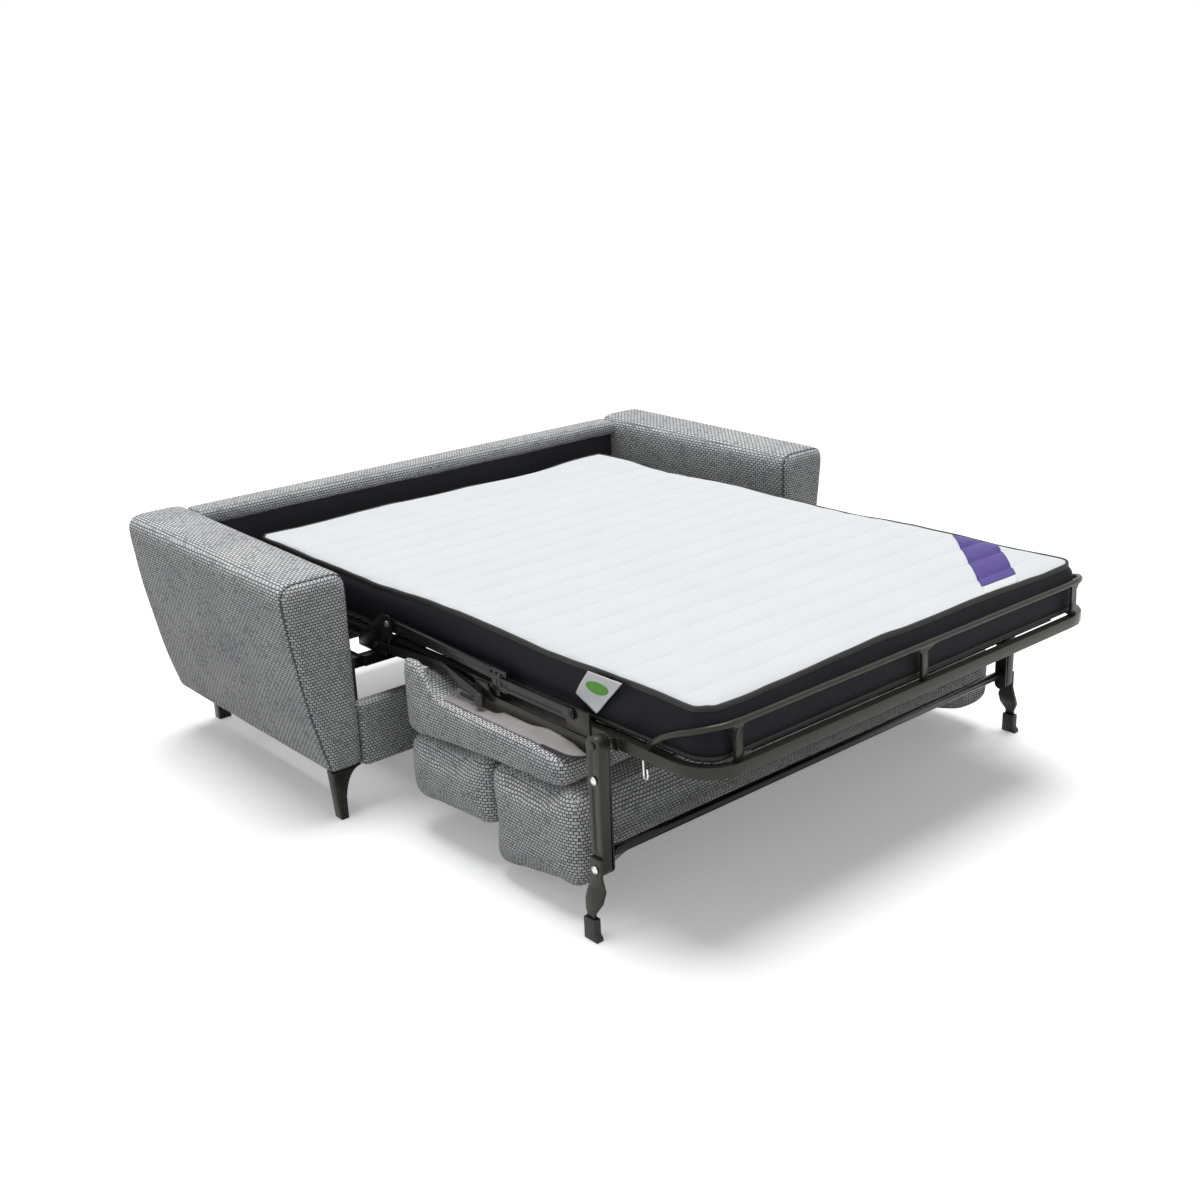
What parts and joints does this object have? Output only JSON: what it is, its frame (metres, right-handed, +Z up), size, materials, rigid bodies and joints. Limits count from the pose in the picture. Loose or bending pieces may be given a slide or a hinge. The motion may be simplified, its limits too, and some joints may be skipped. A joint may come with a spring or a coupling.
{
  "type": "sleeper sofa with pull out bed",
  "caption": "Sleeper sofa shown with its folding mattress frame pulled out and resting on splayed steel legs, seat and back cushions turned under the bed.",
  "frame": {"origin": "middle of the floor rectangle under the opened sofa bed", "axes": "+Z up, -Y from the sofa back towards the foot of the bed, +X to the right of someone lying on their back with their head at the sofa back, seen from the foot end"},
  "size_m": [2.036, 2.1389, 0.7055],
  "materials": {
    "weave": "woven",
    "lining": "matt cloth",
    "under_cloth": "matt cloth",
    "lacquer": "gloss",
    "olive": "gloss",
    "zinc": "bright",
    "wood": "raw",
    "cover": "quilted",
    "plastic": "matt",
    "violet": "satin",
    "paper": "matt"
  },
  "bodies": {
    "base": {"arm_left": "weave", "arm_right": "weave", "back": "weave", "back_lining": "lining", "front_rail": "weave", "front_leg_left": "lacquer", "front_leg_right": "lacquer", "rear_leg_left": "lacquer", "rear_leg_right": "lacquer", "base_side_left": "wood", "base_side_right": "wood", "side_tube_left": "lacquer", "side_tube_right": "lacquer", "front_tube": "lacquer", "rear_tube": "lacquer", "hinge_bracket_left": "lacquer", "hinge_bracket_right": "lacquer", "main_pivot_left": "zinc", "main_pivot_right": "zinc", "head_frame": "lacquer", "head_net": "lacquer", "mattress_head": "cover"},
    "middle": {"middle_frame": "lacquer", "middle_net": "lacquer", "upper_bar_left": "lacquer", "upper_bar_right": "lacquer", "seat_plate_left": "olive", "seat_plate_right": "olive", "seat_board": "under_cloth", "seat_cushion": "weave", "back_cushion_upper": "weave", "back_cushion_lower": "weave", "mattress_middle": "cover", "mattress_rear_fold": "cover"},
    "links": {"link_arm_left": "lacquer", "link_arm_right": "lacquer", "mattress_front_fold": "cover"},
    "foot": {"foot_frame": "olive", "foot_net": "lacquer", "hoop": "olive", "latch_wire_left": "zinc", "latch_wire_right": "zinc", "mattress_foot": "cover", "side_tag": "paper", "corner_ribbon": "violet"},
    "bed_legs": {"bed_leg_left": "olive", "bed_leg_right": "olive", "leg_stay_left": "lacquer", "leg_stay_right": "lacquer", "foot_bar_left": "olive", "foot_bar_right": "olive", "foot_cap_left": "plastic", "foot_cap_right": "plastic", "leg_tube": "lacquer"},
    "guides": {"guide_bar_left": "lacquer", "guide_bar_right": "lacquer", "guide_roller_left": "plastic", "guide_roller_right": "plastic"}
  },
  "joints": [
    {"name": "bed_lift", "type": "hinge", "parent": "base", "child": "middle", "pos_m": [0, 0.116, 0.522], "axis": [-1, 0, 0], "range_deg": [0, 72], "deforming": ["mattress_rear_fold"]},
    {"name": "foot_fold", "type": "hinge", "parent": "middle", "child": "links", "pos_m": [0, -0.374, 0.49], "axis": [-1, 0, 0], "range_deg": [0, 90], "deforming": ["mattress_front_fold"]},
    {"name": "foot_turn", "type": "hinge", "parent": "links", "child": "foot", "pos_m": [0, -0.636, 0.49], "axis": [-1, 0, 0], "range_deg": [0, 90]},
    {"name": "leg_fold", "type": "hinge", "parent": "foot", "child": "bed_legs", "pos_m": [0, -0.769, 0.468], "axis": [1, 0, 0], "range_deg": [0, 75]},
    {"name": "guide_turn", "type": "hinge", "parent": "base", "child": "guides", "pos_m": [0, 0.164, 0.452], "axis": [-1, 0, 0], "range_deg": [0, 72]}
  ],
  "couplings": [
    {"joint": "foot_turn", "follows": "foot_fold", "ratio": 1},
    {"joint": "leg_fold", "follows": "foot_fold", "ratio": 0.8333},
    {"joint": "guide_turn", "follows": "bed_lift", "ratio": 1}
  ]
}
